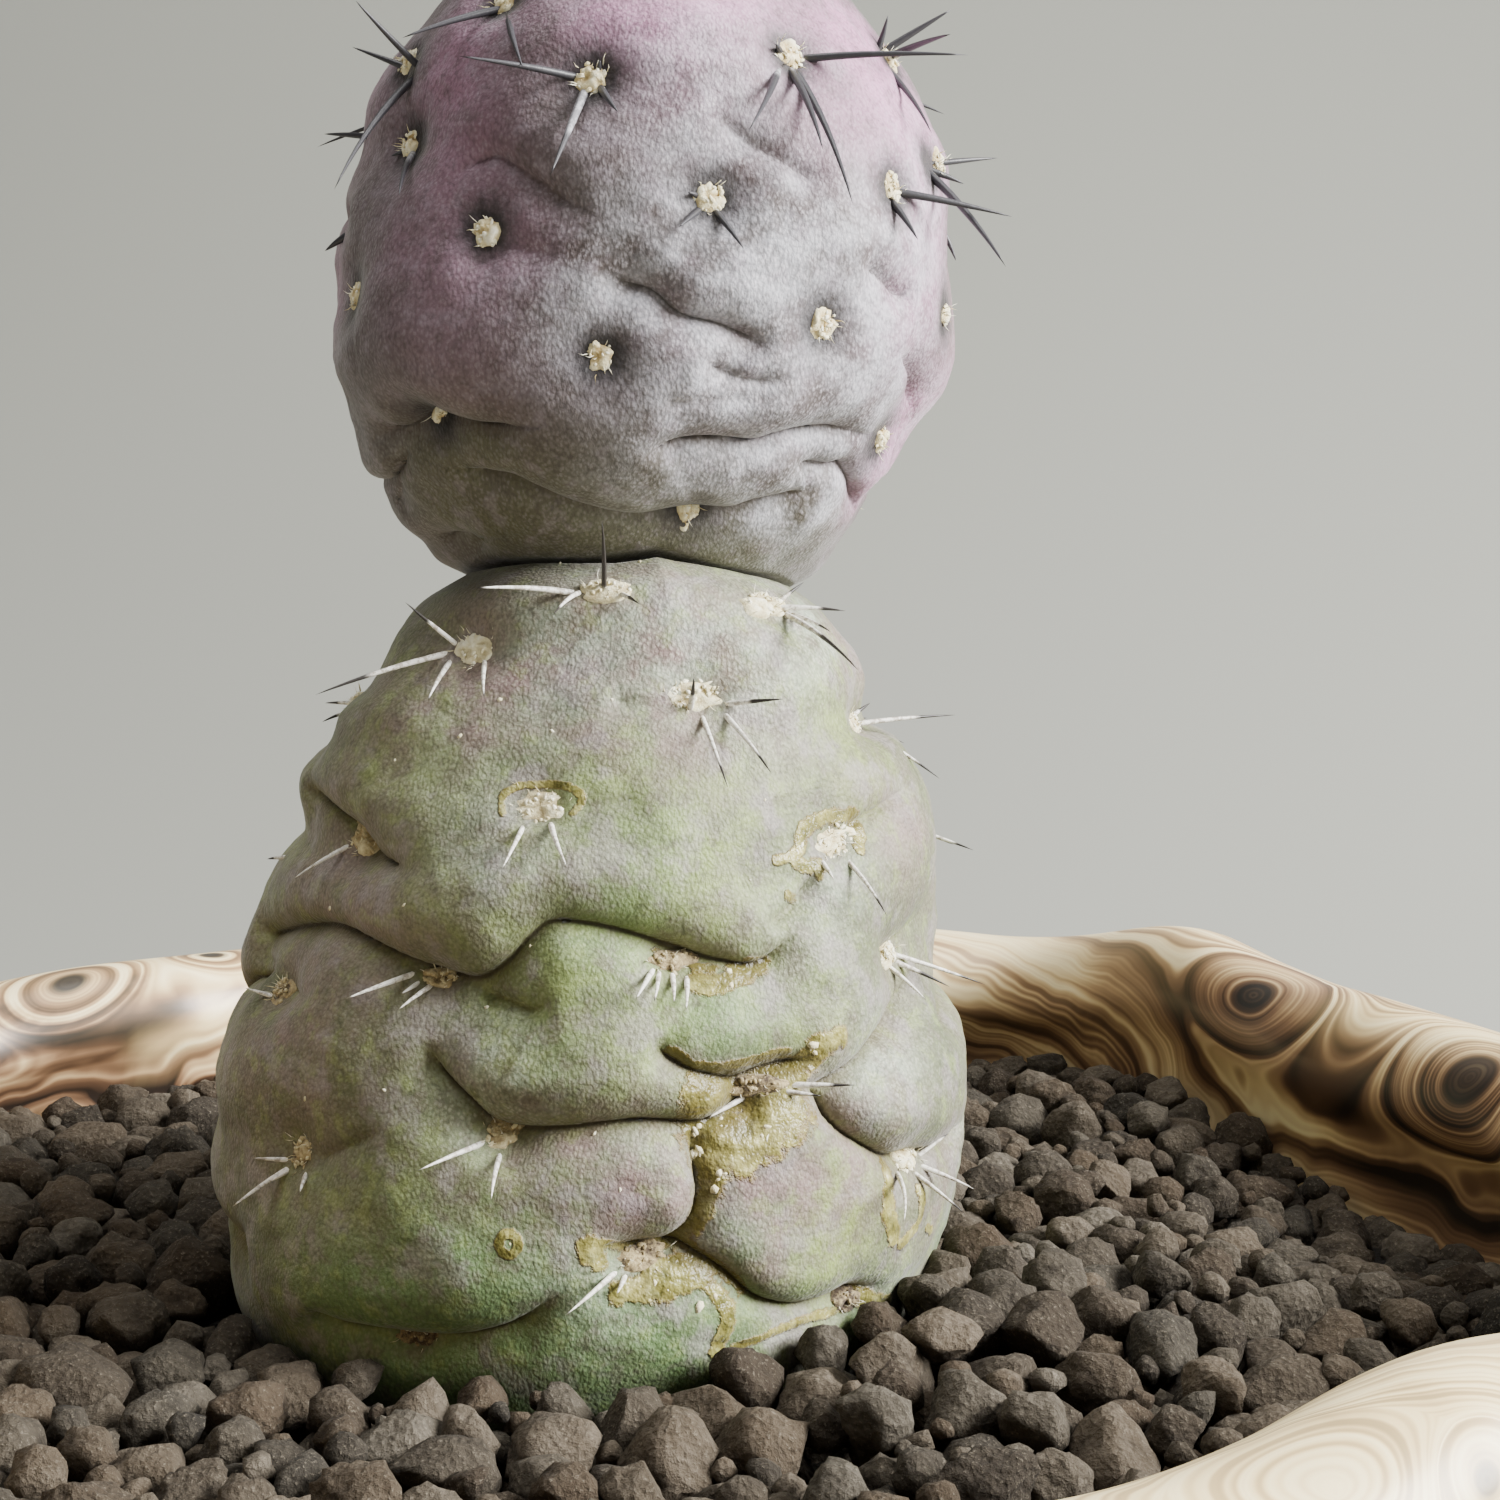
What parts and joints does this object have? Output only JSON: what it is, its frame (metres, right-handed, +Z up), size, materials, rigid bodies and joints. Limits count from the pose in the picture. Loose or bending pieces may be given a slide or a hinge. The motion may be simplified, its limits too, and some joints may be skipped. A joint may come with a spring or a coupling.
{
  "type": "potted tephrocactus geometricus",
  "caption": "Globular cactus of stacked, creased, spined stem joints in granular soil in a shallow bowl with a thick wavy lip.",
  "frame": {"origin": "middle of the whole object's footprint at the bottom of the bowl's foot ring", "axes": "+Z up along the plant, the pictured side towards -Y"},
  "size_m": [0.1536, 0.1518, 0.128],
  "materials": {
    "glaze": "glossy wood-grain glaze, cream and brown, with dark knots",
    "gravel": "matt grey-brown hard granular soil",
    "lower_skin": "waxy grey-green skin with cork scabs and white spines",
    "upper_skin": "waxy purple-grey skin with dark spines",
    "spines": "dull horn, white to dark",
    "wool": "matt cream wool and barbed bristles"
  },
  "bodies": {
    "root": {"pot": "glaze", "soil": "gravel", "lower_segment": "lower_skin", "upper_segment": "upper_skin"}
  },
  "joints": []
}
